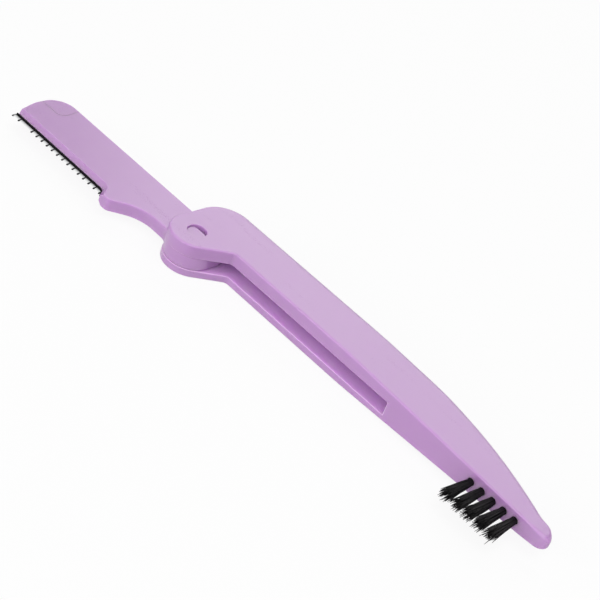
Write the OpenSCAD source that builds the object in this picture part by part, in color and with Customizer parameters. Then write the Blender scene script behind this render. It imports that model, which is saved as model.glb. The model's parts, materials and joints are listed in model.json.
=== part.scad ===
// Folding eyebrow razor, open and lying flat on its back face.
// The pivot axis stands upright, the arm points to -X and the tail to +X.
// Millimetres. X and Y of the sizes below are measured from the pivot axis.

/* [Handle] */
// Thickness of the handle
handle_t = 8; // [7:0.1:10]
// Width of the straight grip
handle_w = 13.2; // [11:0.1:17]
// Pivot axis to the tip of the tail
tail_reach = 98.8; // [92:0.5:120]
// Height of the grip's lower edge over the pivot axis
grip_low = 2.7; // [1.5:0.1:4]
// Radius of the bulge round the pivot
head_r = 6.05; // [6:0.05:7]
// Radius of the head's upper corner
crown_r = 8.3; // [7:0.1:11]
// Angle of the knee's slope
knee_angle = 54.5; // [40:0.5:65]
// Radius of the hollow at the knee
knee_r = 1.3; // [0.5:0.1:4]
// Rounding of the spine's two long edges
spine_r = 2.7; // [1:0.1:3.2]
// Rounding of all other edges of the handle
edge_r = 0.45; // [0.3:0.05:0.8]

/* [Channel] */
// Width of the channel that the arm folds into
channel_gap = 3.2; // [3.15:0.05:3.4]
// How far the channel lies behind the middle of the handle
channel_back = 0.6; // [0:0.05:0.7]
// Pivot axis to the end of the channel
channel_reach = 56.3; // [56:0.1:60]
// Thickness of the web behind the channel
web_t = 2.6; // [1.5:0.1:4]
// Clearance between the arm's spine and its stop in the head
stop_gap = 0.15; // [0.1:0.05:0.5]
// Length of the stop past the pivot axis
stop_len = 7; // [5.8:0.1:8]
// Slope length between the stop and the deep channel
stop_slope = 2; // [0.5:0.1:4]

/* [Tail] */
// Where the handle starts to get thinner
thin_start = 40; // [30:0.5:56]
// Length over which the taper sets in
thin_blend = 8; // [2:0.5:16]
// Thickness of the handle at the tail's tip
tail_t = 3.6; // [3.2:0.1:5]
// Where the spine starts to curve down
drop_start = 58; // [50:0.5:66]
// Height of the tail where its tip gets round
tail_h = 2.6; // [2:0.1:4]
// Radius of the tail's tip
tip_r = 2.2; // [1.5:0.1:3]

/* [Pivot] */
// Radius of the pivot pin
pin_r = 2.1; // [1.2:0.05:2.4]
// How far the pin's ends lie below the handle's faces
pin_recess = 0.4; // [0.2:0.05:1]
// Distance from the pin's axis to the snap ramp on its ends
ramp_start = 1; // [0:0.1:1.6]
// Depth of the snap ramp
ramp_depth = 1.1; // [0.4:0.1:1.4]
// Radial clearance of the pin in the handle
pin_gap = 0.05; // [0.02:0.01:0.1]
// Radial clearance of the pin in the hub that holds it
hub_gap = 0.02; // [0.01:0.01:0.05]

/* [Arm] */
// Thickness of the arm
arm_t = 3; // [2.4:0.05:3.05]
// Pivot axis to the arm's end
arm_reach = 55.25; // [52:0.05:55.5]
// Height of the arm's spine over the pivot axis
arm_rise = 7.65; // [6.6:0.05:8.2]
// Depth of the holder's blade edge under the pivot axis
arm_drop = 5.85; // [5.2:0.05:6.4]
// Radius of the hub
hub_r = 5.85; // [5.4:0.05:5.95]
// Depth of the neck's lower edge under the pivot axis
neck_drop = 2.5; // [2:0.1:3]
// Angle round the hub, from its lowest point to where the neck starts
neck_turn = 50; // [44:1:54]
// Radius of the hollow between the hub and the neck
neck_r = 3; // [1:0.1:3]
// Radius of the end's spine corner
end_r = 5; // [2:0.1:5.2]
// How far the end slants back towards the blade
end_slant = 1.5; // [0:0.1:2.4]
// Height over the pivot axis where the end starts to slant
end_bend = -0.3; // [-1:0.1:1]
// Radius of that bend
bend_r = 8; // [1:0.5:8]
// Depth of the heel hook under the holder's edge
hook_drop = 2.25; // [2:0.05:2.8]
// Length of the heel hook's lower edge
hook_len = 2.7; // [2:0.1:3.4]
// How far the hook's front slants back on its way down
hook_lean = 1.7; // [1.2:0.1:2.2]
// How far the hook covers the blade's heel
heel_cover = 0.65; // [0.4:0.05:0.9]
// Radius of the hook's front corner
hook_tip_r = 0.3; // [0.1:0.05:0.6]
// Radius of the hook's back corner
hook_r = 1.6; // [0.8:0.1:2]
// Radius of the hollow between the holder and the hook
notch_r = 1.9; // [1:0.1:2]
// Length of the sweep from the hook up to the neck
sweep_len = 5.4; // [4:0.1:6.4]
// Radius of the hollow where the sweep meets the neck
sweep_r = 9; // [4:0.5:10]
// Chamfer of the arm's spine
spine_chamfer = 0.3; // [0.15:0.05:0.6]
// Width of the bevel along the blade edge
bevel_w = 1.5; // [0.5:0.1:1.8]
// Thickness of the holder's lip at the blade
lip_t = 0.8; // [0.6:0.05:1.4]

/* [Blade and guard] */
// Length of the blade
blade_len = 31.2; // [30.6:0.1:31.4]
// Width of the blade
blade_w = 7; // [5:0.1:8]
// Thickness of the blade
blade_t = 0.25; // [0.15:0.01:0.35]
// How far the edge stands out of the holder
blade_out = 1.05; // [1:0.05:1.5]
// Width of the ground edge
grind_w = 0.5; // [0.4:0.05:0.9]
// Clearance of the blade in its slot
blade_gap = 0.03; // [0.01:0.01:0.08]
// Distance from the arm's end back to the blade
blade_inset = 1.3; // [1.2:0.1:2]
// Number of guard fins in the row
fins = 14; // [8:1:14]
// Distance between fins
fin_pitch = 1.86; // [1.6:0.01:1.88]
// Distance from the blade's heel to the row
fin_inset = 0.25; // [0.2:0.05:0.4]
// Wide window between the row and the fin at the tip
window_len = 4.7; // [1.8:0.1:4.8]
// How far the guard stands past the blade's tip
tip_cover = 0.12; // [0.05:0.01:0.2]
// Thickness of a guard fin
fin_t = 0.36; // [0.25:0.01:0.5]
// Wall of the guard round the blade
guard_wall = 0.18; // [0.12:0.01:0.25]
// How far a fin stands past the blade's edge
fin_out = 0.2; // [0.15:0.05:0.5]
// Width of the rail that joins the fins
rail_w = 0.45; // [0.3:0.05:0.6]

/* [Tip clip] */
// Length of the tip clip
clip_len = 6.6; // [5.7:0.1:8]
// Height of the clip's lower edge over the pivot axis
clip_low = 1.95; // [1.2:0.05:2.4]
// Width of the seam round the clip
seam = 0.12; // [0.05:0.01:0.3]
// Radius of the clip's tongue
tongue_r = 0.7; // [0.4:0.05:0.9]
// Length of the clip's tongue
tongue_len = 4; // [2:0.1:6]

/* [Bristles] */
// Distance from the tail's tip to the last tuft's axis
tuft_last = 7.8; // [7:0.1:9]
// Distance between tufts
tuft_pitch = 2.85; // [2.4:0.05:3]
// Radius of a tuft
tuft_r = 0.85; // [0.6:0.05:1]
// Depth of a tuft's hole
tuft_depth = 2.8; // [2:0.1:3]
// Free length of the bristles
bristle_len = 8.8; // [5:0.1:9.5]
// Diameter of a bristle
bristle_d = 0.13; // [0.08:0.01:0.14]
// Bristles in a tuft
bristles = 70; // [60:1:80]
// Thickness of the staple that anchors a tuft
staple_t = 0.35; // [0.2:0.05:0.5]
// Height of the staple
staple_h = 1.2; // [0.8:0.1:1.6]
// How far a tuft leans towards the tail at its ends
tuft_lean = 0.1; // [0:0.05:1]

/* [Hidden] */

lilac = [0.79, 0.66, 0.82];
steel = [0.75, 0.76, 0.78];
brass = [0.78, 0.66, 0.36];
black = [0.06, 0.06, 0.07];

// Overrun of every cut
over = 0.5;
// Sides of the round holes and pins
round_fn = 48;
tufts = 5;

// Heights and lengths that follow from the sizes above
spine_top = grip_low + handle_w;
mid_z = handle_t / 2;
head_end = -head_r;
crown_x = head_end + crown_r;
crown_y = spine_top - crown_r;
hook_low = arm_drop + hook_drop;
arm_z = mid_z - channel_back;

// The frame's origin lies under the middle of the razor's box
frame_x = (tail_reach - arm_reach) / 2;
frame_y = (spine_top - hook_low) / 2;

// Knee: a slope that leaves the bulge at a tangent and turns into the grip's lower edge
slope_x = head_r * sin(knee_angle);
slope_y = -head_r * cos(knee_angle);
knee_x = slope_x + (grip_low - slope_y) / tan(knee_angle);
knee_tangent = knee_r * tan(knee_angle / 2);
knee_in = knee_x - knee_tangent * cos(knee_angle);
knee_out = knee_x + knee_tangent;

// Shares: the spine's fall, the crown's rounding, the tip's thickness, the room for a rounding
fall_power_share = 1.8;
crown_edge_share = 0.9;
tip_thin_share = 0.4;
round_room_share = 0.9;

// Stations of the loft along the handle, from the head's end to the tail's tip
head_steps = 10;
bulge_steps = 4;
thin_steps = 5;
tail_steps = 11;
grip_steps = 2;
knee_steps = 3;
tip_steps = 7;
last_turn = 80;
tip_from = tail_reach - tip_r;
stations = concat(
    [for (i = [0 : head_steps]) head_end * cos(90 * i / head_steps)],
    [for (i = [1 : bulge_steps]) slope_x * sin(90 * i / bulge_steps)],
    [for (i = [0 : knee_steps]) mix(knee_in, knee_out, i / knee_steps)],
    [for (i = [1 : grip_steps]) mix(knee_out, thin_start, i / grip_steps)],
    [for (i = [1 : thin_steps]) mix(thin_start, drop_start, i / thin_steps)],
    [for (i = [1 : tail_steps]) mix(drop_start, tip_from, i / tail_steps)],
    [for (i = [1 : tip_steps]) tip_from + tip_r * sin(last_turn * i / tip_steps)]);

function clamp(v, low, high) = min(max(v, low), high);
function mix(a, b, share) = a + (b - a) * share;
function arc_height(r, d) = sqrt(max(r * r - d * d, 0));

// Roundness of the tail's tip: 1 before the tip, falling to 0 at its end
function tip_share(x) = x < tip_from ? 1 : arc_height(tip_r, x - tip_from) / tip_r;

// Lower outline before the tip's rounding
function low_line(x) =
    x < slope_x ? -arc_height(head_r, x)
    : x < knee_in ? slope_y + (x - slope_x) * tan(knee_angle)
    : x < knee_out ? grip_low - knee_r + arc_height(knee_r, x - knee_out)
    : grip_low;

// Upper outline before the tip's rounding
function top_line(x) =
    x < crown_x ? crown_y + arc_height(crown_r, x - crown_x)
    : x < drop_start ? spine_top
    : spine_top - (handle_w - tail_h)
        * pow((x - drop_start) / (tail_reach - drop_start), fall_power_share);

function mid_line(x) = (low_line(x) + top_line(x)) / 2;
function low_edge(x) = mix(mid_line(x), low_line(x), tip_share(x));
function top_edge(x) = mix(mid_line(x), top_line(x), tip_share(x));

// The taper as a length: it sets in smoothly and then runs straight to the tip
function taper(x) =
    x < thin_start ? 0
    : x < thin_start + thin_blend ? pow(x - thin_start, 2) / (2 * thin_blend)
    : x - thin_start - thin_blend / 2;

// Half the thickness: full at the grip, rounded at the head's end, thin at the tail
function half_t(x) =
    x < head_end + edge_r
        ? handle_t / 2 - edge_r + arc_height(edge_r, head_end + edge_r - x)
    : mix(handle_t, tail_t, taper(x) / taper(tail_reach)) / 2 * mix(tip_thin_share, 1, tip_share(x));

// Rounding of the spine's edges, which grows from the head's end over the crown
function spine_round(x) =
    mix(edge_r, spine_r, clamp((x - head_end) / (crown_r * crown_edge_share), 0, 1));

// One quarter turn of a section's corner
function corner(x, y, z, r, from, steps) =
    [for (i = [0 : steps]) [x, y + r * cos(from + 90 * i / steps), z + r * sin(from + 90 * i / steps)]];

// A section across the handle
low_steps = 3;
spine_steps = 6;
function section(x) =
    let (low = low_edge(x), top = top_edge(x), h = half_t(x))
    let (room = min(h, (top - low) / 2) * round_room_share)
    let (rl = min(edge_r, room), rt = min(spine_round(x), room))
    concat(
        corner(x, top - rt, mid_z + h - rt, rt, 0, spine_steps),
        corner(x, low + rl, mid_z + h - rl, rl, 90, low_steps),
        corner(x, low + rl, mid_z - h + rl, rl, 180, low_steps),
        corner(x, top - rt, mid_z - h + rt, rt, 270, spine_steps));

// Skin over a list of rings that all have n points, closed at both ends
function skin_faces(rings, n) = concat(
    [[for (j = [0 : n - 1]) j]],
    [for (i = [0 : rings - 2], j = [0 : n - 1]) [i * n + j, (i + 1) * n + j, i * n + (j + 1) % n]],
    [for (i = [0 : rings - 2], j = [0 : n - 1])
        [i * n + (j + 1) % n, (i + 1) * n + j, (i + 1) * n + (j + 1) % n]],
    [[for (j = [n - 1 : -1 : 0]) (rings - 1) * n + j]]);

module skin(rings) {
    n = len(rings[0]);
    polyhedron(points = [for (ring = rings) each ring], faces = skin_faces(len(rings), n));
}

// Outlines of straight lines and arcs: a list of corners [x, y, radius], taken clockwise.
// An inset outline moves every line inwards and keeps the arcs concentric.
function unit(v) = v / norm(v);
function side_normal(a, b) = let (d = unit([b[0] - a[0], b[1] - a[1]])) [d[1], -d[0]];
function cross_z(a, b) = a[0] * b[1] - a[1] * b[0];
function inset_corner(p, c, q, inset) =
    let (n1 = side_normal(p, c), n2 = side_normal(c, q), s = inset / (1 + n1 * n2))
    [c[0] + (n1[0] + n2[0]) * s, c[1] + (n1[1] + n2[1]) * s];
function corner_arc(p, c, q, inset, steps) =
    let (n1 = side_normal(p, c), n2 = side_normal(c, q), turn = cross_z(n1, n2))
    let (r = max(turn < 0 ? c[2] - inset : c[2] + inset, 0), at = inset_corner(p, c, q, inset))
    let (k = turn < 0 ? r : -r, s = k / (1 + n1 * n2))
    let (centre = [at[0] + (n1[0] + n2[0]) * s, at[1] + (n1[1] + n2[1]) * s])
    let (first = atan2(-n1[1], -n1[0]), sweep = asin(clamp(turn, -1, 1)))
    let (full = n1 * n2 < 0 ? (turn < 0 ? -180 : 180) - sweep : sweep)
    [for (i = [0 : steps]) let (a = first + full * i / steps)
        [centre[0] + k * cos(a), centre[1] + k * sin(a)]];
function outline(corners, inset, steps) =
    [for (i = [0 : len(corners) - 1])
        each corner_arc(corners[(i + len(corners) - 1) % len(corners)], corners[i],
            corners[(i + 1) % len(corners)], inset, steps)];

// Blade and heel places along the arm
blade_tip_x = -arm_reach + blade_inset;
blade_heel_x = blade_tip_x + blade_len;
blade_y = -arm_drop - blade_out;
slot_top = blade_y + blade_w + blade_gap;
hook_x = blade_heel_x - heel_cover;
hook_turn = atan2(hook_drop, hook_lean);

// The neck leaves the hub along a tangent
hub_round_share = 0.96;
neck_slope = (hub_r * cos(neck_turn) - neck_drop) / sin(neck_turn);
neck_x = -hub_r * sin(neck_turn) - neck_slope * cos(neck_turn);

// The arm's outline, clockwise from the hub's upper corner to the end's spine corner
notch_corner = [hook_x, -arm_drop, notch_r];
hook_corner = [hook_x + hook_lean, -hook_low, hook_tip_r];
end_corner = [-arm_reach + end_slant, -arm_drop, hook_tip_r];
arm_corners = [
    [hub_r, arm_rise, hub_r * hub_round_share],
    [hub_r, -hub_r, hub_r * hub_round_share],
    [-hub_r * tan(neck_turn / 2), -hub_r, hub_r * hub_round_share],
    [neck_x, -neck_drop, min(neck_r, neck_slope / tan(neck_turn / 2))],
    [hook_corner[0] + hook_len + sweep_len, -neck_drop, sweep_r],
    [hook_corner[0] + hook_len, -hook_low, hook_r],
    hook_corner,
    notch_corner,
    end_corner,
    [-arm_reach, end_bend, bend_r],
    [-arm_reach, arm_rise, end_r]];

// The arm as a flat plate with its spine's two edges chamfered
corner_steps = 8;
module arm_plate() {
    difference() {
        translate([0, 0, arm_z - arm_t / 2]) linear_extrude(arm_t)
            polygon(outline(arm_corners, 0, corner_steps));
        for (side = [0, 1])
            translate([0, 0, arm_z]) mirror([0, 0, side])
                translate([hub_r + over, arm_rise, arm_t / 2]) rotate([45, 0, 0])
                    translate([-arm_reach - hub_r - over * 2, -spine_chamfer / sqrt(2), -spine_chamfer])
                        cube([arm_reach + hub_r + over * 2, spine_chamfer * 2, spine_chamfer * 2]);
    }
}

module place() {
    translate([-frame_x, -frame_y, 0]) children();
}

// The channel's outline, open at the head's end and along the lower side
module channel_shape() {
    polygon([
        [head_end - over, -head_r - over],
        [channel_reach, -head_r - over],
        [channel_reach, spine_top - web_t],
        [stop_len + stop_slope, spine_top - web_t],
        [stop_len, arm_rise + stop_gap],
        [head_end - over, arm_rise + stop_gap]]);
}

module tuft_axis(i) {
    translate([tail_reach - tuft_last - tuft_pitch * (tufts - i), grip_low, mid_z])
        rotate([90, 0, 0]) children();
}

module handle() {
    color(lilac) place() difference() {
        skin([for (x = stations) section(x)]);
        translate([0, 0, arm_z - channel_gap / 2]) linear_extrude(channel_gap) channel_shape();
        translate([0, 0, -over]) cylinder(r = pin_r + pin_gap, h = handle_t + over * 2, $fn = round_fn);
        for (i = [1 : tufts])
            tuft_axis(i) translate([0, 0, -tuft_depth])
                cylinder(r = tuft_r, h = tuft_depth + over, $fn = round_fn);
    }
}

// The pin's ends are ramped, so that it snaps through the walls on its way in
module pivot_pin() {
    half = mid_z - pin_recess;
    color(lilac) place() translate([0, 0, mid_z]) difference() {
        translate([0, 0, -half]) cylinder(r = pin_r, h = half * 2, $fn = round_fn);
        for (side = [0, 1])
            mirror([0, 0, side]) translate([-pin_r - over, 0, 0]) rotate([90, 0, 90])
                linear_extrude((pin_r + over) * 2)
                    polygon([
                        [ramp_start, half],
                        [pin_r, half - ramp_depth],
                        [pin_r + over, half - ramp_depth],
                        [pin_r + over, half + over],
                        [ramp_start, half + over]]);
    }
}

// One plane of the bevel along a line in X, with the holder on its +Y side
module bevel_wedge() {
    half = arm_t / 2;
    translate([-arm_reach, 0, 0]) rotate([90, 0, 90]) linear_extrude(arm_reach * 2)
        polygon([
            [0, lip_t / 2],
            [bevel_w, half],
            [bevel_w, half + over],
            [-arm_reach, half + over],
            [-arm_reach, lip_t / 2]]);
}

// The bevel runs along the blade edge and turns down the hook's front
module bevel_cut() {
    translate([hook_x, -arm_drop, 0]) intersection() {
        bevel_wedge();
        rotate([0, 0, -hook_turn]) bevel_wedge();
    }
}

module clip_space(gap) {
    translate([-arm_reach - over, clip_low - gap, arm_z - arm_t / 2 - over])
        cube([clip_len + over + gap, arm_rise - clip_low + gap + over, arm_t + over * 2]);
}

module tongue(gap) {
    translate([-arm_reach + clip_len - over, (clip_low + arm_rise) / 2, arm_z])
        rotate([0, 90, 0]) cylinder(r = tongue_r + gap, h = tongue_len + over + gap, $fn = round_fn);
}

module blade_slot() {
    translate([-arm_reach - over, -hook_low - over, arm_z - blade_t / 2 - blade_gap])
        cube([
            blade_heel_x + blade_gap + arm_reach + over,
            slot_top + hook_low + over,
            blade_t + blade_gap * 2]);
}

module blade_arm() {
    color(lilac) place() difference() {
        arm_plate();
        translate([0, 0, -over]) cylinder(r = pin_r + hub_gap, h = handle_t + over * 2, $fn = round_fn);
        for (side = [0, 1])
            translate([0, 0, arm_z]) mirror([0, 0, side]) bevel_cut();
        blade_slot();
        clip_space(seam);
        tongue(blade_gap);
    }
}

module tip_clip() {
    color(lilac) place() union() {
        intersection() {
            arm_plate();
            clip_space(0);
        }
        tongue(0);
    }
}

// The blade's section: ground to an edge on both faces
module blade() {
    color(steel) place() translate([blade_heel_x, 0, arm_z]) rotate([90, 0, -90])
        linear_extrude(blade_len)
            polygon([
                [-blade_y, 0],
                [-blade_y - grind_w, blade_t / 2],
                [-blade_y - blade_w, blade_t / 2],
                [-blade_y - blade_w, -blade_t / 2],
                [-blade_y - grind_w, -blade_t / 2]]);
}

// The guard: fins hook round the edge, and two rails join them along the holder and down the hook
guard_inner = blade_t / 2 + blade_gap;
guard_half = guard_inner + guard_wall;
guard_low = blade_y - fin_out;
guard_tip_x = blade_tip_x - tip_cover;
rail_step = 0.02;
rail_steps = 4;
notch_x = hook_x - notch_r * tan(hook_turn / 2);
row_x = blade_heel_x - fin_inset - fin_t;
row_end = row_x - fin_pitch * (fins - 1);
fin_places = concat(
    [for (i = [0 : fins - 1]) row_x - fin_pitch * i],
    [row_end - window_len, guard_tip_x]);

// Height of the rail's middle line at x, which turns down with the hook's hollow
function rail_y(x) =
    -arm_drop - notch_r + arc_height(notch_r - seam - rail_w / 2, max(x - notch_x, 0));

// One edge of the rail, at a distance from the holder, from the hook's front to the tip
function rail_edge(gap) =
    let (end = guard_low + rail_step, run = (-end - arm_drop - gap * cos(hook_turn)) / sin(hook_turn))
    concat(
        [[hook_x - gap * sin(hook_turn) + run * cos(hook_turn), end]],
        corner_arc(hook_corner, notch_corner, end_corner, -gap, rail_steps),
        [[guard_tip_x + rail_step, -arm_drop - gap]]);
function reversed(list) = [for (i = [len(list) - 1 : -1 : 0]) list[i]];

// A fin is a hexagon in section and a little thicker than the rails
module guard_fin(x) {
    half = guard_half + rail_step;
    shoulder = -guard_low - half + guard_inner;
    top = min(-rail_y(x + fin_t), shoulder - fin_out);
    translate([x + fin_t, 0, arm_z]) rotate([90, 0, -90]) linear_extrude(fin_t)
        polygon([
            [top, half],
            [shoulder, half],
            [-guard_low, guard_inner],
            [-guard_low, -guard_inner],
            [shoulder, -half],
            [top, -half]]);
}

module blade_guard() {
    color(black) place() difference() {
        union() {
            for (x = fin_places) guard_fin(x);
            translate([0, 0, arm_z - guard_half]) linear_extrude(guard_half * 2)
                polygon(concat(rail_edge(seam), reversed(rail_edge(seam + rail_w))));
        }
        translate([guard_tip_x - over, blade_y - blade_gap, arm_z - guard_inner])
            cube([blade_len + over * 2, blade_w, guard_inner * 2]);
    }
}

// Bristles: a straight bundle that opens evenly, so that no bristle meets another
golden_turn = 137.508;
golden_share = 0.618;
bundle_share = 0.84;
splay_share = 0.55;
trim_share = 0.22;
point_share = 0.44;
root_share = 0.3;
staple_share = 0.9;
bristle_sides = 3;
root = tuft_r * root_share;
function bristle_at(k) =
    let (r = tuft_r * bundle_share * sqrt((k + 0.5) / bristles), a = golden_turn * k)
    [r * cos(a), r * sin(a)];
function bristle_share(k) = 1 - trim_share * (golden_share * k - floor(golden_share * k));
function bristle_ring(k, z, share, r) =
    let (p = bristle_at(k), open = 1 + splay_share * share, lean = tuft_lean * share)
    [for (j = [0 : bristle_sides - 1]) let (a = 360 * j / bristle_sides)
        [p[0] * open + lean + r * cos(a), p[1] * open + r * sin(a), z]];
function bristle_points(k) = let (share = bristle_share(k)) concat(
    bristle_ring(k, -root, 0, bristle_d / 2),
    bristle_ring(k, bristle_len * share, share, bristle_d * point_share / 2));
bristle_faces = [[0, 1, 2], [0, 3, 1], [1, 3, 4], [1, 4, 2], [2, 4, 5], [2, 5, 0], [0, 5, 3], [3, 5, 4]];

module bristle_tuft(i) {
    color(black) place() tuft_axis(i) difference() {
        union() {
            translate([0, 0, -tuft_depth + blade_gap])
                cylinder(r = tuft_r - blade_gap, h = tuft_depth - blade_gap - root / 2, $fn = round_fn);
            polyhedron(
                points = [for (k = [0 : bristles - 1]) each bristle_points(k)],
                faces = [for (k = [0 : bristles - 1], f = bristle_faces)
                    [for (v = f) v + k * bristle_sides * 2]]);
        }
        translate([-tuft_r, -staple_t / 2 - blade_gap, -tuft_depth])
            cube([tuft_r * 2, staple_t + blade_gap * 2, staple_h + blade_gap * 2]);
    }
}

module tuft_staple(i) {
    color(brass) place() tuft_axis(i)
        translate([-tuft_r * staple_share, -staple_t / 2, -tuft_depth + blade_gap])
            cube([tuft_r * staple_share * 2, staple_t, staple_h]);
}

handle();
pivot_pin();
blade_arm();
blade();
blade_guard();
tip_clip();
bristle_tuft(1);  // bristle_tuft_1
bristle_tuft(2);  // bristle_tuft_2
bristle_tuft(3);  // bristle_tuft_3
bristle_tuft(4);  // bristle_tuft_4
bristle_tuft(5);  // bristle_tuft_5
tuft_staple(1);  // tuft_staple_1
tuft_staple(2);  // tuft_staple_2
tuft_staple(3);  // tuft_staple_3
tuft_staple(4);  // tuft_staple_4
tuft_staple(5);  // tuft_staple_5
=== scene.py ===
import json
import math
import random

import bmesh
import bpy
from mathutils import Matrix, Vector


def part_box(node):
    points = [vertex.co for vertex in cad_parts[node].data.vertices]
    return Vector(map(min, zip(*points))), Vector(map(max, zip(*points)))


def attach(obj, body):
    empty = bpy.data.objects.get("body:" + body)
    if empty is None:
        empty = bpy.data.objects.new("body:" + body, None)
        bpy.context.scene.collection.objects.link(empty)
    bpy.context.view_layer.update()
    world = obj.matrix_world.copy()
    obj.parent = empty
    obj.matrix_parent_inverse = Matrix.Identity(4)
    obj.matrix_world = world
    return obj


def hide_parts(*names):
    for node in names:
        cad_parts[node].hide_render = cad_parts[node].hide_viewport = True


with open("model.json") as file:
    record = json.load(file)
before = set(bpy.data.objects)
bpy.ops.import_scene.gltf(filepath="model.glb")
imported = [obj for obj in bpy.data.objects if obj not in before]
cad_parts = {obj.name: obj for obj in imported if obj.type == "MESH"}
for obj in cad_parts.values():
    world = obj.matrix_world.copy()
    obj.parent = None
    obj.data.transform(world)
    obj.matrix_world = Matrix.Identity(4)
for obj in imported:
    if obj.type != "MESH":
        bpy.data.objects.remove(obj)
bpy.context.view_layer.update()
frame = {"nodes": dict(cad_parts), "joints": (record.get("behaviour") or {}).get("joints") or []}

# Units, and how near counts as touching
MM = 0.001
weld = MM / 2000
fine_weld = MM / 5000
touch = MM / 500
spare = 2 * MM

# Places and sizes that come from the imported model
pivot = Vector(frame["joints"][0]["pos_m"])
handle_low, handle_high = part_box("handle")
arm_low, arm_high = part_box("blade_arm")
blade_low, blade_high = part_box("blade")
pin_low, pin_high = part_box("pivot_pin")

mid_z = (handle_low.z + handle_high.z) / 2
arm_z = pivot.z
handle_t = handle_high.z - handle_low.z
head_r = pivot.x - handle_low.x
tail_reach = handle_high.x - pivot.x
spine_top = handle_high.y - pivot.y
arm_t = arm_high.z - arm_low.z
arm_reach = pivot.x - arm_low.x
arm_rise = arm_high.y - pivot.y
hub_r = arm_high.x - pivot.x
hook_low = pivot.y - arm_low.y
blade_tip_x = blade_low.x - pivot.x
blade_heel_x = blade_high.x - pivot.x
blade_edge_y = blade_low.y - pivot.y
blade_t = blade_high.z - blade_low.z
pin_r = (pin_high.x - pin_low.x) / 2

# Sizes of the handle's form
grip_low = 2.7 * MM
crown_r = 8.3 * MM
knee_degrees = 54.5
knee_angle = math.radians(knee_degrees)
knee_r = 1.3 * MM
spine_r = 2.7 * MM
edge_r = 0.4 * MM
channel_gap = 3.2 * MM
channel_reach = 56.3 * MM
web_t = 2.6 * MM
stop_gap = 0.15 * MM
stop_len = 7 * MM
stop_slope = 2 * MM
thin_start = 40 * MM
thin_blend = 8 * MM
thin_cuts = 30
last_cut = 1.2 * MM
tail_t = 3.6 * MM
tail_h = 2.6 * MM
drop_start = 58 * MM
fall_power = 1.8
tip_r = 2.2 * MM
tip_edge_r = 0.8 * MM
tip_flat = 0.4
lip_round = 0.16 * MM
pin_play = 0.05 * MM
ramp_start = 1 * MM
ramp_depth = 1.1 * MM
pin_edge = 0.12 * MM
pin_fit = MM / 50

# Sizes of the arm's form
arm_drop = 5.62 * MM
hub_share = 0.96
neck_drop = 2.5 * MM
neck_turn = math.radians(50)
neck_r = 3 * MM
end_r = 5 * MM
end_slant = 1.5 * MM
end_bend = -0.3 * MM
bend_r = 8 * MM
hook_drop = hook_low - arm_drop
hook_len = 2.7 * MM
hook_lean = 1.7 * MM
heel_cover = 0.65 * MM
hook_tip_r = 0.36 * MM
hook_r = 1.6 * MM
notch_r = 1.9 * MM
sweep_len = 5.4 * MM
sweep_r = 9 * MM
arm_edge_r = 0.22 * MM
bevel_w = 0.9 * MM
lip_t = 1 * MM
lip_edge = 0.08 * MM
slot_gap = 0.03 * MM
slot_h = 7.03 * MM
cutter_foot = 6 * MM
cutter_low = 16 * MM
cutter_side = 8 * MM
clip_low = 1.93 * MM
seam = 0.08 * MM
seam_foot = 1.4

# The clip's seam from its inner corner up to the spine, in mm from the pivot and above clip_low
clip_seam = [(-50.7, 0), (-49.9, 0.05), (-49.2, 0.36), (-48.75, 0.95), (-48.55, 1.9),
             (-48.6, 3.2), (-48.82, 4.6), (-49, 5.6), (-49.2, 7.6)]

# Sizes of the guard
fin_count = 14
fin_pitch = 1.86 * MM
fin_inset = 0.3 * MM
window_len = 4.7 * MM
fin_w = 0.2 * MM
fin_wall = 0.07 * MM
end_gap = 0.1 * MM
guard_low = blade_edge_y - 0.35 * MM
guard_seam = 0.02 * MM
rail_w = 0.24 * MM
rail_h = 0.28 * MM
rail_edge = 0.06 * MM
fin_edge = 0.03 * MM

# Sizes of the tufts
tuft_count = 5
tuft_pitch = 2.85 * MM
last_tuft_gap = 7.8 * MM
tuft_r = 0.85 * MM
tuft_depth = 2.8 * MM
tuft_plug = 0.26 * MM
bristle_r = 0.075 * MM
bristle_count = 110
bristle_len = 8.8 * MM
bristle_end = 0.6
bristle_steps = 6
bristle_curl = 0.08
bundle_sway = 0.1
stray_sway = 0.42
bundle_share = 0.9
splay_share = 0.75
stray_share = 0.06
first_seed = 40
golden_turn = math.radians(137.508)
tuft_axes = [tail_reach - last_tuft_gap - tuft_pitch * (tuft_count - 1 - i)
             for i in range(tuft_count)]

# Floor, light and view: each lamp's direction, width in metres and brightness
floor_size = 3
floor_drop = 0.05 * MM
floor_paint = 0.9
floor_lift = 0.9
room_level = 0.3
lamp_distance = 0.9
lamps = {
    "veil": ((-0.35, 0.74, 0.58), 0.54, 1.8),
    "top": ((0.25, 0.05, 0.97), 0.6, 1.9),
    "front": ((0.25, -0.76, 0.56), 0.84, 2.05),
    "edge": ((-0.42, -0.85, 0.32), 0.28, 5.5)}
view_target = Vector((1.79, 6.27, 4.0)) * MM
view_angles = (-33.1, 33.8, 21.3)
view_distance = 353.7 * MM
view_lens = 101.8
view_sensor = 36


# Mesh helpers

def place(bm):
    """Moves a mesh that was drawn round the pivot axis to its place in the frame."""
    bmesh.ops.translate(bm, verts=bm.verts, vec=Vector((pivot.x, pivot.y, 0)))


def as_mesh(name, bm):
    """A mesh with a bmesh's faces; the bmesh is freed."""
    mesh = bpy.data.meshes.new(name)
    bm.to_mesh(mesh)
    bm.free()
    return mesh


def in_scene(name, data):
    """An object that shows a mesh, curve, lamp or camera."""
    thing = bpy.data.objects.new(name, data)
    bpy.context.scene.collection.objects.link(thing)
    return thing


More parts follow.
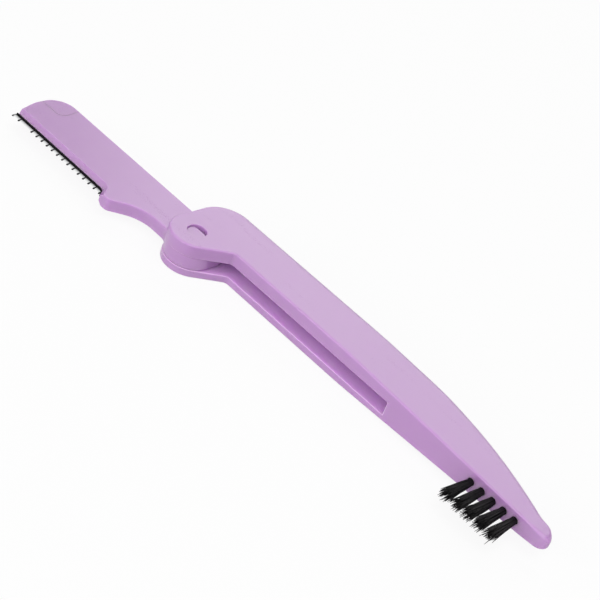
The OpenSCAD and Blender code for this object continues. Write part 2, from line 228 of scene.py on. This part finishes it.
def to_piece(name, bm, body, finish, angle=35):
    """Turns a finished bmesh into a piece with smooth faces and true edges."""
    bmesh.ops.recalc_face_normals(bm, faces=bm.faces)
    mesh = as_mesh(name, bm)
    mesh.materials.clear()
    mesh.materials.append(finish)
    for face in mesh.polygons:
        face.use_smooth = True
    mesh.set_sharp_from_angle(angle=math.radians(angle))
    piece = in_scene(name, mesh)
    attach(piece, body)
    return piece


def even_shading(piece):
    """Lets the large faces set the shading, and not the small roundings beside them."""
    weigh = piece.modifiers.new("even_shading", "WEIGHTED_NORMAL")
    weigh.mode = "FACE_AREA"
    weigh.weight = 100
    weigh.keep_sharp = True


def helper_object(bm):
    """A passing object for a cutter or a blank."""
    bmesh.ops.recalc_face_normals(bm, faces=bm.faces)
    return in_scene("helper", as_mesh("helper", bm))


def shown_mesh(thing):
    """A bmesh of an object as it shows, with its modifiers or its curve's thickness."""
    bpy.context.view_layer.update()
    graph = bpy.context.evaluated_depsgraph_get()
    mesh = bpy.data.meshes.new_from_object(thing.evaluated_get(graph))
    bm = bmesh.new()
    bm.from_mesh(mesh)
    bpy.data.meshes.remove(mesh)
    return bm


def cut(blank, cutters, operation="DIFFERENCE"):
    """Cuts a blank with each cutter in turn, and returns the result as a bmesh."""
    for cutter in cutters:
        step = blank.modifiers.new("cut", "BOOLEAN")
        step.operation = operation
        step.solver = "EXACT"
        step.object = cutter
    bm = shown_mesh(blank)
    for thing in [blank, *cutters]:
        bpy.data.objects.remove(thing)
    bmesh.ops.remove_doubles(bm, verts=bm.verts, dist=weld)
    return bm


def join(bm, other):
    """Adds another bmesh's faces to a bmesh."""
    mesh = as_mesh("helper", other)
    bm.from_mesh(mesh)
    bpy.data.meshes.remove(mesh)


def from_curve(curve):
    """A bmesh of a curve's strands."""
    thing = in_scene("helper", curve)
    bm = shown_mesh(thing)
    bpy.data.objects.remove(thing)
    return bm


def ring_skin(rings):
    """A closed skin over rings of points, bridged one to the next."""
    bm = bmesh.new()
    loops = []
    for ring in rings:
        verts = [bm.verts.new(p) for p in ring]
        loops.append([bm.edges.new((a, b)) for a, b in zip(verts, verts[1:] + verts[:1])])
    for one, two in zip(loops, loops[1:]):
        bmesh.ops.bridge_loops(bm, edges=one + two)
    for loop in (loops[0], loops[-1]):
        bmesh.ops.contextual_create(bm, geom=loop)
    return bm


def swept(points, way):
    """A flat face of the points, drawn out along a way."""
    bm = bmesh.new()
    face = bm.faces.new([bm.verts.new(p) for p in points])
    grown = bmesh.ops.extrude_face_region(bm, geom=[face])["geom"]
    ends = [g for g in grown if isinstance(g, bmesh.types.BMVert)]
    bmesh.ops.translate(bm, verts=ends, vec=Vector(way))
    return bm


def prism(points, low, high):
    """An upright prism over an outline."""
    return swept([(x, y, low) for x, y in points], (0, 0, high - low))


def block(low, high):
    """A box between two corners."""
    bm = bmesh.new()
    bmesh.ops.create_cube(bm, size=1)
    size = Vector(high) - Vector(low)
    bmesh.ops.scale(bm, verts=bm.verts, vec=size)
    bmesh.ops.translate(bm, verts=bm.verts, vec=(Vector(high) + Vector(low)) / 2)
    return bm


def drum(centre, axis, radius, length, sides=64):
    """A round bar about its centre, along an axis."""
    bm = bmesh.new()
    bmesh.ops.create_cone(bm, cap_ends=True, segments=sides, radius1=radius, radius2=radius,
                          depth=length)
    turn = Vector((0, 0, 1)).rotation_difference(Vector(axis)).to_matrix()
    bmesh.ops.rotate(bm, verts=bm.verts, cent=Vector(), matrix=turn)
    bmesh.ops.translate(bm, verts=bm.verts, vec=Vector(centre))
    return bm


def soften(bm, picked, width, segments=3):
    """Rounds the picked edges, where they are convex and sharp."""
    edges = [e for e in bm.edges if len(e.link_faces) == 2 and e.is_convex
             and e.calc_face_angle(0) > math.radians(45) and picked(e)]
    bmesh.ops.bevel(bm, geom=edges, offset=width, offset_type="OFFSET", segments=segments,
                    profile=0.5, affect="EDGES", material=-1, clamp_overlap=False)


def clamp(value, low, high):
    return min(max(value, low), high)


def mix(a, b, share):
    return a + (b - a) * share


def arc_height(radius, run):
    """How high a circle stands at a run from its middle."""
    return math.sqrt(max(radius * radius - run * run, 0))


# Node helpers

class Wire:
    """A node's output that Python's own operators turn into Math nodes."""

    def __init__(self, nodes, socket):
        self.nodes = nodes
        self.socket = socket

    def math(self, operation, *values):
        return self.nodes.node("ShaderNodeMath", {"operation": operation}, values)

    def __add__(self, other):
        return self.math("ADD", self, other)

    def __sub__(self, other):
        return self.math("SUBTRACT", self, other)

    def __mul__(self, other):
        return self.math("MULTIPLY", self, other)

    def clamped(self):
        return self.nodes.node("ShaderNodeClamp", {}, [self])

    def size(self):
        return self.math("ABSOLUTE", self)


class Nodes:
    """A finish, floor or room as a node tree, and the one way that its nodes are made."""

    def __init__(self, owner):
        owner.use_nodes = True
        self.owner = owner
        self.tree = owner.node_tree
        self.tree.nodes.clear()

    def node(self, kind, settings, sockets, output=0):
        made = self.tree.nodes.new(kind)
        for name, value in settings.items():
            setattr(made, name, value)
        pairs = sockets.items() if isinstance(sockets, dict) else enumerate(sockets)
        for key, value in pairs:
            if isinstance(value, Wire):
                self.tree.links.new(value.socket, made.inputs[key])
            else:
                made.inputs[key].default_value = value
        return Wire(self, made.outputs[output]) if made.outputs else None

    def noise(self, scale, detail=3.0, stretch=(1, 1, 1)):
        """A cloudy 0 to 1 that can be stretched along the frame's axes."""
        place = self.node("ShaderNodeTexCoord", {}, [], "Object")
        spread = self.node("ShaderNodeMapping", {}, {"Vector": place, "Scale": stretch})
        sockets = {"Vector": spread, "Scale": scale, "Detail": detail}
        return self.node("ShaderNodeTexNoise", {}, sockets, "Fac")

    def place(self):
        """The frame's X, Y and Z at the shaded point."""
        point = self.node("ShaderNodeTexCoord", {}, [], "Object")
        return [self.node("ShaderNodeSeparateXYZ", {}, [point], axis) for axis in "XYZ"]

    def step(self, value, at_none, at_full):
        """0 to 1 as a value goes from one size to another."""
        return self.node("ShaderNodeMapRange", {"interpolation_type": "SMOOTHSTEP"},
                         {"Value": value, "From Min": at_none, "From Max": at_full})

    def blend_colours(self, share, one, two):
        """The colour between two others; the Mix node's colour sockets are 6, 7 and 2."""
        return self.node("ShaderNodeMix", {"data_type": "RGBA"}, {0: share, 6: one, 7: two}, 2)

    def bump(self, height, strength, distance):
        """A normal that a height tilts."""
        sockets = {"Strength": strength, "Distance": distance, "Height": height}
        return self.node("ShaderNodeBump", {}, sockets)

    def unlit_share(self):
        """1 for rays that show the background: straight, or by a gloss or a clear piece."""
        shown = [self.node("ShaderNodeLightPath", {}, [], ray)
                 for ray in ("Is Camera Ray", "Is Glossy Ray", "Is Transmission Ray")]
        return (shown[0] + shown[1] + shown[2]).clamped()

    def surface(self, sockets):
        shader = self.node("ShaderNodeBsdfPrincipled", {}, sockets)
        self.node("ShaderNodeOutputMaterial", {}, {"Surface": shader})
        return self.owner


def linear(red, green, blue):
    """A colour written as it shows, 0 to 255 a channel, in the linear values that shaders take."""
    return (*(((c / 255 + 0.055) / 1.055) ** 2.4 for c in (red, green, blue)), 1)


# Finishes

def lilac_plastic(name, lift=None):
    """Soft-gloss lilac moulding: faint clouding from the melt and a fine mould grain, and, where a
    mask is given, painted light as a lighter lilac.
    """
    n = Nodes(bpy.data.materials.new(name))
    cloud = n.noise(45, 2.0, (0.5, 1, 1))
    flow = n.noise(260, 3.0, (0.12, 1, 1))
    grain = n.noise(5200, 2.0)
    colour = n.blend_colours(cloud * 0.7 + flow * 0.3, linear(181, 139, 191), linear(187, 145, 196))
    # Painted light: the masked places are lightened towards a pale lilac, as if more light reached
    # them.
    if lift:
        colour = n.blend_colours(lift(n), colour, linear(222, 182, 230))
    return n.surface({
        "Base Color": colour,
        "Roughness": grain * 0.05 + flow * 0.05 + cloud * 0.04 + 0.22,
        "Subsurface Weight": 0.8,
        "Subsurface Radius": (0.002, 0.0014, 0.0022),
        "Subsurface Scale": 1.0,
        "IOR": 1.5,
        "Specular IOR Level": 0.7,
        "Normal": n.bump(grain + flow * 0.5, 0.05, 0.00002)})


def channel_painted_light(n):
    """1 on the channel's walls, where light is painted in: a lighter colour stands in for light
    that the thin cheeks let through into the shaded channel.
    """
    x, y, z = n.place()
    beside = (z - arm_z).size()
    inside = n.step(beside, channel_gap / 2 + 0.14 * MM, channel_gap / 2 + 0.02 * MM)
    ahead = n.step(x - pivot.x, channel_reach + 0.2 * MM, channel_reach + 0.05 * MM)
    below = n.step(y - pivot.y, spine_top - web_t + 0.2 * MM, spine_top - web_t + 0.05 * MM)
    return inside * ahead * below


def blade_steel():
    """Ground steel: fine lines across, with painted shade that darkens it under the guard's rail,
    and bright towards the edge.
    """
    n = Nodes(bpy.data.materials.new("blade_steel"))
    lines = n.noise(900, 4.0, (14, 0.6, 0.6))
    y = n.place()[1]
    # Painted shade: dark grey near the guard's rail, fading to the bright steel towards the edge.
    painted_rail_shade = n.step(y - pivot.y, blade_edge_y + 0.05 * MM, blade_edge_y + 0.95 * MM)
    bright = n.blend_colours(lines, linear(226, 228, 228), linear(244, 245, 245))
    colour = n.blend_colours(painted_rail_shade, bright, linear(62, 64, 63))
    return n.surface({
        "Base Color": colour,
        "Metallic": 1.0,
        "Roughness": lines * 0.12 + 0.16,
        "Normal": n.bump(lines, 0.1, 0.00001)})


def guard_black():
    """Blackened guard with a rubbed sheen, kept black with little gloss so that its rails also
    stand in for the shadow line between lip and blade: partly painted shadow.
    """
    n = Nodes(bpy.data.materials.new("guard_dark"))
    rub = n.noise(1500, 3.0)
    return n.surface({
        "Base Color": n.blend_colours(rub, linear(12, 8, 15), linear(34, 30, 36)),
        "Roughness": rub * 0.2 + 0.5,
        # Little gloss, so that the black rails read as the painted shadow under the lip.
        "Specular IOR Level": 0.12,
        "Normal": n.bump(rub, 0.1, 0.00001)})


def bristle_nylon():
    """Black nylon with a slight change from bristle to bristle."""
    n = Nodes(bpy.data.materials.new("bristle_nylon"))
    change = n.noise(2600, 1.0, (1, 0.05, 1))
    return n.surface({
        "Base Color": n.blend_colours(change, linear(4, 4, 5), linear(22, 21, 22)),
        "Roughness": change * 0.2 + 0.42,
        "Specular IOR Level": 0.2,
        "Normal": n.bump(change, 0.05, 0.00001)})


def staple_brass():
    """Brass with slight wear."""
    n = Nodes(bpy.data.materials.new("staple_brass"))
    wear = n.noise(1800, 3.0)
    return n.surface({
        "Base Color": n.blend_colours(wear, linear(190, 160, 92), linear(214, 186, 118)),
        "Metallic": 1.0,
        "Roughness": wear * 0.2 + 0.3})


lilac = lilac_plastic("lilac_plastic")
# The handle's finish has painted light in its channel, lighter than the shade there.
lilac_handle = lilac_plastic("lilac_handle", channel_painted_light)
steel = blade_steel()
black = guard_black()
nylon = bristle_nylon()
brass = staple_brass()


# Handle: one outline with rounded edges, thinned to the tail, then its channel and holes

slope_x = head_r * math.sin(knee_angle)
slope_y = -head_r * math.cos(knee_angle)
knee_x = slope_x + (grip_low - slope_y) / math.tan(knee_angle)
knee_tangent = knee_r * math.tan(knee_angle / 2)
knee_in = knee_x - knee_tangent * math.cos(knee_angle)
knee_out = knee_x + knee_tangent
head_end = -head_r
crown_x = head_end + crown_r
crown_y = spine_top - crown_r
tip_from = tail_reach - tip_r


def low_line(x):
    """The handle's open side: round the head, down the knee's slope and along the grip."""
    if x < slope_x:
        return -arc_height(head_r, x)
    if x < knee_in:
        return slope_y + (x - slope_x) * math.tan(knee_angle)
    if x < knee_out:
        return grip_low - knee_r + arc_height(knee_r, x - knee_out)
    return grip_low


def top_line(x):
    """The spine: the crown, a straight run and the fall to the tail."""
    if x < crown_x:
        return crown_y + arc_height(crown_r, x - crown_x)
    fall = max((x - drop_start) / (tail_reach - drop_start), 0)
    return spine_top - (spine_top - grip_low - tail_h) * fall ** fall_power


def tip_share(x):
    """1 up to the tail's round end, and down to 0 at the end itself."""
    return 1 if x < tip_from else arc_height(tip_r, x - tip_from) / tip_r


def low_edge(x):
    """The open side's line, drawn in to the middle at the tail's round end."""
    return mix((low_line(x) + top_line(x)) / 2, low_line(x), tip_share(x))


def top_edge(x):
    """The spine's line, drawn in to the middle at the tail's round end."""
    return mix((low_line(x) + top_line(x)) / 2, top_line(x), tip_share(x))


def thinning(x):
    """How much less than half the grip's thickness the handle has on each side."""
    def taper(run):
        if run < 0:
            return 0
        return run * run / (2 * thin_blend) if run < thin_blend else run - thin_blend / 2
    return (handle_t - tail_t) / 2 * taper(x - thin_start) / taper(tail_reach - thin_start)


def turns(count, first, last):
    """Angles from the first to the last, in equal steps."""
    return [math.radians(mix(first, last, i / count)) for i in range(count + 1)]


def handle_marks():
    """Points along the outline, each with the radius of the edges there."""
    low = [head_end * math.cos(a) for a in turns(24, 0, 90)]
    low += [head_r * math.sin(a) for a in turns(14, 0, knee_degrees)[1:]]
    low += [knee_out - knee_r * math.sin(a) for a in turns(10, knee_degrees, 0)]
    low += [mix(knee_out, tip_from, i / 40) for i in range(1, 41)]
    low += [tip_from + tip_r * math.sin(a) for a in turns(16, 0, 90)[1:]]
    top = [tip_from + tip_r * math.sin(a) for a in turns(16, 90, 0)[1:]]
    top += [mix(tip_from, drop_start, i / 40) for i in range(1, 41)]
    top += [mix(drop_start, crown_x, i / 10) for i in range(1, 11)]
    top += [crown_x - crown_r * math.sin(a) for a in turns(30, 0, 90)[1:]]

    def low_radius(x):
        return mix(edge_r, tip_edge_r, clamp((x - tip_from + 3 * MM) / (4 * MM), 0, 1))

    def top_radius(x):
        crown = mix(edge_r, spine_r, clamp((x - head_end) / (crown_r * 0.9), 0, 1))
        room = (top_line(x) - low_line(x)) / 2 * 0.9
        tip = mix(room, tip_edge_r, clamp((x - tip_from + 3 * MM) / (3 * MM), 0, 1))
        return min(crown, tip, (handle_t / 2 - thinning(x)) * 0.9)

    marks = [(Vector((x, low_edge(x))), low_radius(x)) for x in low]
    return marks + [(Vector((x, top_edge(x))), top_radius(x)) for x in top]


def inward(before, after):
    """The inward normal of an outline that runs with its inside on its left."""
    along = (after - before).normalized()
    return Vector((-along.y, along.x))


def handle_ring(marks, angle, side):
    """The outline at one angle round its rounded edge, on one face's side."""
    ring = []
    for i, (point, radius) in enumerate(marks):
        normal = inward(marks[i - 1][0], marks[(i + 1) % len(marks)][0])
        at = point + normal * radius * (1 - math.sin(angle))
        height = handle_t / 2 - radius * (1 - math.cos(angle))
        ring.append(Vector((at.x, at.y, mid_z + side * height)))
    return ring


def handle_blank():
    """The solid moulding: skinned at full thickness, cut across, then thinned to the tail."""
    marks = handle_marks()
    angles = turns(8, 0, 90)
    rings = [handle_ring(marks, a, 1) for a in angles]
    rings += [handle_ring(marks, a, -1) for a in reversed(angles)]
    bm = ring_skin(rings)
    bmesh.ops.remove_doubles(bm, verts=bm.verts, dist=fine_weld)
    for i in range(thin_cuts):
        x = mix(thin_start, tail_reach - last_cut, i / (thin_cuts - 1))
        bmesh.ops.bisect_plane(bm, geom=[*bm.verts, *bm.edges, *bm.faces], dist=fine_weld,
                               plane_co=Vector((x, 0, 0)), plane_no=Vector((1, 0, 0)))
    for vert in bm.verts:
        height = vert.co.z - mid_z
        height -= math.copysign(thinning(vert.co.x), height)
        vert.co.z = mid_z + height * mix(tip_flat, 1, tip_share(min(vert.co.x, tail_reach)))
    return helper_object(bm)


def make_handle():
    """Cuts the channel, the pin's hole and the tufts' holes, and rounds the channel's lips."""
    web = spine_top - web_t
    stop = arm_rise + stop_gap
    channel = prism([
        (head_end - spare, -head_r - spare), (channel_reach, -head_r - spare),
        (channel_reach, web), (stop_len + stop_slope, web), (stop_len, stop),
        (head_end - spare, stop)],
        arm_z - channel_gap / 2, arm_z + channel_gap / 2)
    cutters = [helper_object(channel)]
    pin_hole = drum((0, 0, mid_z), (0, 0, 1), pin_r + pin_play, handle_t * 2)
    cutters.append(helper_object(pin_hole))
    for x in tuft_axes:
        tuft_hole = drum((x, grip_low, mid_z), (0, 1, 0), tuft_r, tuft_depth * 2, 40)
        cutters.append(helper_object(tuft_hole))
    bm = cut(handle_blank(), cutters)

    def on_channel(edge):
        at = (edge.verts[0].co + edge.verts[1].co) / 2
        wall = abs(abs(at.z - arm_z) - channel_gap / 2) < touch
        floor = at.y > grip_low + MM and at.x > head_end + MM
        return wall and not floor

    def on_pin_hole(edge):
        return all(abs(math.hypot(v.co.x, v.co.y) - pin_r - pin_play) < touch and
                   abs(abs(v.co.z - mid_z) - handle_t / 2) < touch for v in edge.verts)

    soften(bm, on_channel, lip_round)
    soften(bm, on_pin_hole, lip_round)
    place(bm)
    piece = to_piece("handle_moulding", bm, "handle_body", lilac_handle)
    even_shading(piece)
    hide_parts("handle")


# Bristle tufts: bundles of nylon that open a little towards their ends

def bristle_route(rng, k):
    """One bristle's line: most stay in the bundle, and a few stray from it."""
    radius = tuft_r * bundle_share * math.sqrt((k + 0.5) / bristle_count)
    foot = Vector((radius * math.cos(golden_turn * k), 0, radius * math.sin(golden_turn * k)))
    stray = rng.random() < stray_share
    length = bristle_len * (rng.uniform(0.93, 1.0) if stray else 1 - 0.2 * rng.random() ** 1.2)
    sway_size = stray_sway if stray else bundle_sway
    sway = Vector((rng.gauss(0, 1), 0, rng.gauss(0, 1))) * sway_size * MM
    curl = Vector((rng.gauss(0, 1), 0, rng.gauss(0, 1))) * bristle_curl * MM
    route = []
    for i in range(bristle_steps + 1):
        share = i / bristle_steps
        point = foot * (1 + splay_share * share ** 1.3) + sway * share ** 1.6
        point += curl * math.sin(share * 4)
        route.append(point - Vector((0, length * share - tuft_plug, 0)))
    return route


def make_tuft(index, x):
    """Bristles as round strands of a curve, over a plug that fills their hole."""
    rng = random.Random(first_seed + index)
    curve = bpy.data.curves.new("bristles", "CURVE")
    curve.dimensions = "3D"
    curve.bevel_depth = bristle_r
    curve.bevel_resolution = 1
    curve.use_fill_caps = True
    for k in range(bristle_count):
        route = bristle_route(rng, k)
        spline = curve.splines.new("POLY")
        spline.points.add(len(route) - 1)
        for point, at in zip(spline.points, route):
            point.co = (x + at.x, grip_low + at.y, mid_z + at.z, 1)
        spline.points[-1].radius = bristle_end
    bm = from_curve(curve)
    plug_at = (x, grip_low + tuft_depth / 2, mid_z)
    join(bm, drum(plug_at, (0, 1, 0), tuft_r * 0.97, tuft_depth * 0.9, 24))
    place(bm)
    piece = to_piece(f"brow_tuft_{index}", bm, "handle_body", nylon, 60)
    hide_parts(f"bristle_tuft_{index}")


# Arm: a flat moulding with rounded edges, and a bevel along the blade and down the hook

hook_x = blade_heel_x - heel_cover
hook_turn = math.atan2(hook_drop, hook_lean)
notch_x = hook_x - notch_r * math.tan(hook_turn / 2)
hub_round = hub_r * hub_share
neck_slope = (hub_r * math.cos(neck_turn) - neck_drop) / math.sin(neck_turn)
arm_corners = [
    (hub_r, arm_rise, hub_round),
    (hub_r, -hub_r, hub_round),
    (-hub_r * math.tan(neck_turn / 2), -hub_r, hub_round),
    (-hub_r * math.sin(neck_turn) - neck_slope * math.cos(neck_turn), -neck_drop, neck_r),
    (hook_x + hook_lean + hook_len + sweep_len, -neck_drop, sweep_r),
    (hook_x + hook_lean + hook_len, -hook_low, hook_r),
    (hook_x + hook_lean, -hook_low, hook_tip_r),
    (hook_x, -arm_drop, notch_r),
    (-arm_reach + end_slant, -arm_drop, hook_tip_r),
    (-arm_reach, end_bend, bend_r),
    (-arm_reach, arm_rise, end_r)]


def round_corner(before, corner, after, steps):
    """Points and inward normals along the arc at one corner of a clockwise outline."""
    p, c, q = Vector(before[:2]), Vector(corner[:2]), Vector(after[:2])
    one, two = (c - p).normalized(), (q - c).normalized()
    n1, n2 = Vector((one.y, -one.x)), Vector((two.y, -two.x))
    side = 1 if n1.cross(n2) < 0 else -1
    centre = c + (n1 + n2) * side * corner[2] / (1 + n1.dot(n2))
    start = math.atan2(n1.y, n1.x)
    sweep = -side * math.acos(clamp(n1.dot(n2), -1, 1))
    marks = []
    for i in range(steps + 1):
        a = start + sweep * i / steps
        normal = Vector((math.cos(a), math.sin(a)))
        marks.append((centre - normal * side * corner[2], normal))
    return marks


def arm_ring(marks, angle, side):
    """The arm's outline at one angle round its rounded edge, on one face's side."""
    inset = arm_edge_r * (1 - math.sin(angle))
    height = arm_t / 2 - arm_edge_r * (1 - math.cos(angle))
    return [Vector((*(point + normal * inset), arm_z + side * height)) for point, normal in marks]


def arm_blank():
    """The solid arm: its rounded outline with softened edges."""
    marks = []
    for i, corner in enumerate(arm_corners):
        after = arm_corners[(i + 1) % len(arm_corners)]
        marks += round_corner(arm_corners[i - 1], corner, after, 14)
    angles = turns(5, 0, 90)
    rings = [arm_ring(marks, a, 1) for a in angles]
    rings += [arm_ring(marks, a, -1) for a in reversed(angles)]
    return helper_object(ring_skin(rings))


def lip_path(gap, run, tip_x, steps=12):
    """A line beside the lip: up the hook's front, round its hollow and along to the tip."""
    radius = notch_r - gap
    centre = (notch_x, -arm_drop - notch_r)
    arc = []
    for i in range(steps + 1):
        a = math.pi / 2 - hook_turn * (1 - i / steps)
        arc.append((centre[0] + radius * math.cos(a), centre[1] + radius * math.sin(a)))
    foot = (arc[0][0] + run * math.cos(hook_turn), arc[0][1] - run * math.sin(hook_turn))
    return [foot, *arc, (tip_x, -arm_drop - gap)]


def bevel_cutter(side):
    """The stuff outside the bevel on one face, as wide as the bevel at that face."""
    half = arm_t / 2
    rise = (half - lip_t / 2) / bevel_w
    far = arm_reach + 4 * MM
    profile = [(-MM, lip_t / 2 - lip_edge), (0, lip_t / 2 - lip_edge),
               (lip_edge, lip_t / 2 + lip_edge * rise),
               (bevel_w, half), (bevel_w + MM, half + MM * rise)]
    rings = []
    for inset, height in profile:
        path = lip_path(-inset, cutter_foot, -far)
        path += [(-far, -cutter_low), (hook_x + cutter_side, -cutter_low)]
        rings.append([Vector((x, y, arm_z + side * height)) for x, y in path])
    return helper_object(ring_skin(rings))


def clip_outline(grow):
    """What the clip fills: from the arm's end round its inner corner, and up to the spine."""
    corner_x, top_y = clip_seam[0][0] * MM, clip_seam[-1][1] * MM
    outline = []
    for x, y in [(-arm_reach - spare, 0)] + [(x * MM, y * MM) for x, y in clip_seam]:
        out = grow * clamp((x - corner_x) / MM, 0, 1)
        down = grow * clamp(seam_foot - y / MM, 0, 1)
        outline.append((x + out, clip_low + y - down))
    return outline + [(-arm_reach - spare, clip_low + top_y)]


def make_arm():
    """Cuts the blade's slot, the clip's place, the pin's hole and both bevels."""
    slot = block((-arm_reach - MM, -hook_low - MM, arm_z - blade_t / 2 - slot_gap),
                 (blade_heel_x + slot_gap, blade_edge_y + slot_h, arm_z + blade_t / 2 + slot_gap))
    cutters = [
        helper_object(slot),
        helper_object(prism(clip_outline(seam), arm_z - arm_t, arm_z + arm_t)),
        helper_object(drum((0, 0, mid_z), (0, 0, 1), pin_r + pin_fit, handle_t * 2)),
        bevel_cutter(1), bevel_cutter(-1)]
    bm = cut(arm_blank(), cutters)
    place(bm)
    piece = to_piece("arm_moulding", bm, "arm_body", lilac, 25)
    even_shading(piece)
    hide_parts("blade_arm")


def make_clip():
    """The end of the arm's blank, inside the clip's outline."""
    end = prism(clip_outline(0), arm_z - arm_t, arm_z + arm_t)
    bm = cut(arm_blank(), [helper_object(end)], "INTERSECT")
    place(bm)
    piece = to_piece("tip_clip_cap", bm, "arm_body", lilac)
    even_shading(piece)
    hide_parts("tip_clip")


def make_pin():
    """A bar whose ends are ramped on one side and softly edged."""
    bm = drum((0, 0, mid_z), (0, 0, 1), pin_r, pin_high.z - pin_low.z, 72)
    for side in (-1, 1):
        end = mid_z + side * (pin_high.z - pin_low.z) / 2
        steep = Vector((0, ramp_depth, side * (pin_r - ramp_start)))
        cut_edges = bmesh.ops.bisect_plane(
            bm, geom=[*bm.verts, *bm.edges, *bm.faces], dist=fine_weld, clear_outer=True,
            plane_co=Vector((0, ramp_start, end)), plane_no=steep)
        rim = [g for g in cut_edges["geom_cut"] if isinstance(g, bmesh.types.BMEdge)]
        bmesh.ops.contextual_create(bm, geom=rim)
    bmesh.ops.recalc_face_normals(bm, faces=bm.faces)
    soften(bm, lambda edge: True, pin_edge)
    place(bm)
    piece = to_piece("pivot_pin_bar", bm, "arm_body", lilac)
    even_shading(piece)
    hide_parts("pivot_pin")


# Guard: rails beside the lip, and hooked fins that wrap the blade's edge

def fin_places():
    """The middle of each fin: the row, one past the wide window, and one at the blade's end."""
    row = [blade_heel_x - fin_inset - fin_pitch * i for i in range(fin_count)]
    return row + [row[-1] - window_len, blade_tip_x - end_gap]


def guard_fin(x):
    """A thin strip bent round the blade's edge, from one face's rail to the other's."""
    inner = blade_t / 2 + slot_gap / 4
    half = inner + fin_wall
    rail_r = notch_r - guard_seam - rail_w / 2
    top = -arm_drop - notch_r + arc_height(rail_r, max(x - notch_x, 0))
    bend = [(blade_edge_y + (guard_low - blade_edge_y) * math.sin(a), half * math.cos(a))
            for a in turns(8, 0, 180)]
    strip = [(top, half), *bend, (top, -half), (top, -inner), (blade_edge_y - slot_gap, -inner),
             (blade_edge_y - slot_gap, inner), (top, inner)]
    bm = swept([(x - fin_w / 2, y, arm_z + z) for y, z in strip], (fin_w, 0, 0))
    bmesh.ops.recalc_face_normals(bm, faces=bm.faces)

    def across(edge):
        return abs((edge.verts[0].co - edge.verts[1].co).x) < touch

    soften(bm, across, fin_edge, 2)
    return bm


def guard_rail(side):
    """A flat rail beside the lip on one face, down the hook's front at its heel; its black also
    stands in as a painted shadow line under the lip.
    """
    inner = blade_t / 2 + slot_gap
    near, far = arm_z + side * inner, arm_z + side * (inner + rail_h)
    tip_x = blade_tip_x - end_gap - fin_w / 2

    def edge_line(gap):
        start = -arm_drop - notch_r + (notch_r - gap) * math.cos(hook_turn)
        return lip_path(gap, (start - guard_low - MM / 10) / math.sin(hook_turn), tip_x)

    outline = edge_line(guard_seam) + edge_line(guard_seam + rail_w)[::-1]
    bm = prism(outline, min(near, far), max(near, far))

    def outside(edge):
        return all(abs(vert.co.z - far) < touch for vert in edge.verts)

    soften(bm, outside, rail_edge, 2)
    return bm


def make_guard():
    """All fins and both rails as one piece."""
    bm = bmesh.new()
    for x in fin_places():
        join(bm, guard_fin(x))
    for side in (-1, 1):
        join(bm, guard_rail(side))
    place(bm)
    piece = to_piece("guard_comb", bm, "arm_body", black, 50)
    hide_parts("blade_guard")


def dress(node, finish):
    """Gives a CAD node that stays its finish."""
    materials = frame["nodes"][node].data.materials
    if len(materials):
        materials[0] = finish
    else:
        materials.append(finish)


make_handle()
make_pin()
for number, axis_x in enumerate(tuft_axes, 1):
    make_tuft(number, axis_x)
make_arm()
make_clip()
make_guard()
dress("blade", steel)
for number in range(1, tuft_count + 1):
    dress(f"tuft_staple_{number}", brass)


# Floor, light and camera

def make_floor():
    """A pale floor that shows nearly white to the camera and takes a soft shadow."""
    bm = bmesh.new()
    bmesh.ops.create_grid(bm, x_segments=1, y_segments=1, size=floor_size)
    bmesh.ops.translate(bm, verts=bm.verts, vec=Vector((0, 0, -floor_drop)))
    mesh = as_mesh("floor", bm)
    n = Nodes(bpy.data.materials.new("pale_floor"))
    paint = n.node("ShaderNodeBsdfDiffuse", {}, {"Color": (floor_paint,) * 3 + (1,)})
    lift = n.node("ShaderNodeEmission", {}, {"Strength": 1.0})
    both = n.node("ShaderNodeMixShader", {}, [n.unlit_share() * floor_lift, paint, lift])
    n.node("ShaderNodeOutputMaterial", {}, {"Surface": both})
    mesh.materials.append(n.owner)
    floor = in_scene("floor", mesh)


def make_world(level):
    """A white room that lights the razor at a level of its own."""
    bpy.context.scene.world = bpy.data.worlds.new("studio")
    n = Nodes(bpy.context.scene.world)
    room = n.node("ShaderNodeBackground", {}, {"Color": (1, 1, 1, 1), "Strength": level})
    white = n.node("ShaderNodeBackground", {}, {"Color": (1, 1, 1, 1), "Strength": 1.0})
    both = n.node("ShaderNodeMixShader", {}, [n.unlit_share(), room, white])
    n.node("ShaderNodeOutputWorld", {}, {"Surface": both})


def make_lamp(name, direction, size, brightness):
    """A square soft lamp that faces the razor, with its face's brightness, where 1 is white."""
    lamp = bpy.data.lights.new(name, "AREA")
    lamp.size = size
    lamp.energy = brightness * math.pi * size * size
    thing = in_scene(name, lamp)
    way = Vector(direction).normalized()
    thing.location = way * lamp_distance
    thing.rotation_euler = way.to_track_quat("Z", "Y").to_euler()


def make_camera():
    """The photograph's view, from its azimuth, elevation and roll."""
    azimuth, elevation, roll = (math.radians(a) for a in view_angles)
    ahead = Vector((math.sin(azimuth) * math.cos(elevation),
                    math.cos(azimuth) * math.cos(elevation), -math.sin(elevation)))
    right = ahead.cross(Vector((0, 0, 1))).normalized()
    up = right.cross(ahead)
    turned_right = right * math.cos(roll) + up * math.sin(roll)
    turned_up = up * math.cos(roll) - right * math.sin(roll)
    turn = Matrix((turned_right, turned_up, -ahead)).transposed().to_4x4()
    camera = bpy.data.cameras.new("camera")
    camera.lens = view_lens
    camera.sensor_width = view_sensor
    camera.clip_start = MM
    thing = in_scene("camera", camera)
    thing.matrix_world = Matrix.Translation(view_target - ahead * view_distance) @ turn
    bpy.context.scene.camera = thing


make_floor()
make_world(room_level)
for lamp_name, lamp_values in lamps.items():
    make_lamp(lamp_name, *lamp_values)
make_camera()
bpy.context.scene.view_settings.view_transform = "Standard"
